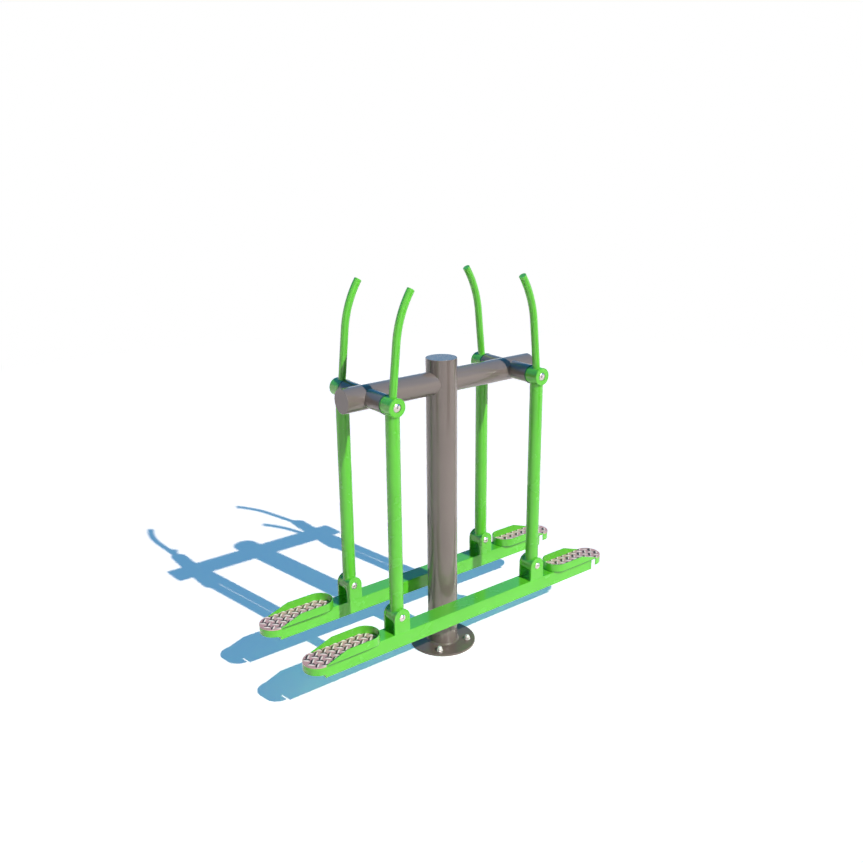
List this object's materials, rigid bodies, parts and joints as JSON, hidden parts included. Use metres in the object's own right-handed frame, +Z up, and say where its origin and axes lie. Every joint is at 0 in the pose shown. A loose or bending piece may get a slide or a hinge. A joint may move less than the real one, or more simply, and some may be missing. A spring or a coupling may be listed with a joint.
{
  "type": "outdoor air walker",
  "caption": "Outdoor air walker: a crossbar on a bolted post carries hanging arms with curved handles, joined by level pedal beams with foot trays.",
  "frame": {"origin": "middle of the base flange's underside, on the floor", "axes": "+Z up along the post, X along the crossbar with the left arms at -X, near arms at -Y and far arms at +Y"},
  "size_m": [1.718, 0.506, 1.7535],
  "materials": {
    "post_paint": "glossy brown-grey powder coat",
    "arm_paint": "glossy bright green powder coat",
    "fastener_steel": "satin stainless steel",
    "tread_steel": "satin rolled tread plate with raised lugs",
    "bronze": "plain bearing bronze"
  },
  "bodies": {
    "frame": {"base_flange": "post_paint", "post": "post_paint", "post_cap": "post_paint", "crossbar": "post_paint", "crossbar_caps": "post_paint", "cross_tubes": "post_paint", "axles": "fastener_steel", "axle_washers": "fastener_steel", "axle_cap_screws": "fastener_steel", "anchor_washers": "fastener_steel", "anchor_nuts": "fastener_steel"},
    "near_left_arm": {"near_left_hub": "arm_paint", "near_left_cover": "arm_paint", "near_left_bearings": "fastener_steel", "near_left_leg": "arm_paint", "near_left_handle": "arm_paint", "near_left_handle_cap": "arm_paint", "near_left_barrel": "arm_paint", "near_left_bushes": "bronze"},
    "near_right_arm": {"near_right_hub": "arm_paint", "near_right_cover": "arm_paint", "near_right_bearings": "fastener_steel", "near_right_leg": "arm_paint", "near_right_handle": "arm_paint", "near_right_handle_cap": "arm_paint", "near_right_barrel": "arm_paint", "near_right_bushes": "bronze"},
    "far_left_arm": {"far_left_hub": "arm_paint", "far_left_cover": "arm_paint", "far_left_bearings": "fastener_steel", "far_left_leg": "arm_paint", "far_left_handle": "arm_paint", "far_left_handle_cap": "arm_paint", "far_left_barrel": "arm_paint", "far_left_bushes": "bronze"},
    "far_right_arm": {"far_right_hub": "arm_paint", "far_right_cover": "arm_paint", "far_right_bearings": "fastener_steel", "far_right_leg": "arm_paint", "far_right_handle": "arm_paint", "far_right_handle_cap": "arm_paint", "far_right_barrel": "arm_paint", "far_right_bushes": "bronze"},
    "near_beam": {"near_beam_tube": "arm_paint", "near_beam_caps": "arm_paint", "near_clevis_plates": "arm_paint", "near_pivot_bolts": "fastener_steel", "near_pivot_nuts": "fastener_steel", "near_tray_rims": "arm_paint", "near_tread_plates": "tread_steel"},
    "far_beam": {"far_beam_tube": "arm_paint", "far_beam_caps": "arm_paint", "far_clevis_plates": "arm_paint", "far_pivot_bolts": "fastener_steel", "far_pivot_nuts": "fastener_steel", "far_tray_rims": "arm_paint", "far_tread_plates": "tread_steel"}
  },
  "joints": [
    {"name": "near_left_swing", "type": "hinge", "parent": "frame", "child": "near_left_arm", "pos_m": [-0.399, -0.188, 1.288], "axis": [0, 1, 0], "range_deg": [-32, 32]},
    {"name": "near_right_swing", "type": "hinge", "parent": "frame", "child": "near_right_arm", "pos_m": [0.399, -0.188, 1.288], "axis": [0, 1, 0], "range_deg": [-32, 32]},
    {"name": "near_beam_level", "type": "hinge", "parent": "near_left_arm", "child": "near_beam", "pos_m": [-0.399, -0.188, 0.357], "axis": [0, 1, 0], "range_deg": [-32, 32]},
    {"name": "far_left_swing", "type": "hinge", "parent": "frame", "child": "far_left_arm", "pos_m": [-0.399, 0.188, 1.288], "axis": [0, 1, 0], "range_deg": [-32, 32]},
    {"name": "far_right_swing", "type": "hinge", "parent": "frame", "child": "far_right_arm", "pos_m": [0.399, 0.188, 1.288], "axis": [0, 1, 0], "range_deg": [-32, 32]},
    {"name": "far_beam_level", "type": "hinge", "parent": "far_left_arm", "child": "far_beam", "pos_m": [-0.399, 0.188, 0.357], "axis": [0, 1, 0], "range_deg": [-32, 32]}
  ],
  "couplings": [
    {"joint": "near_right_swing", "follows": "near_left_swing", "ratio": 1},
    {"joint": "near_beam_level", "follows": "near_left_swing", "ratio": -1},
    {"joint": "far_right_swing", "follows": "far_left_swing", "ratio": 1},
    {"joint": "far_beam_level", "follows": "far_left_swing", "ratio": -1}
  ]
}
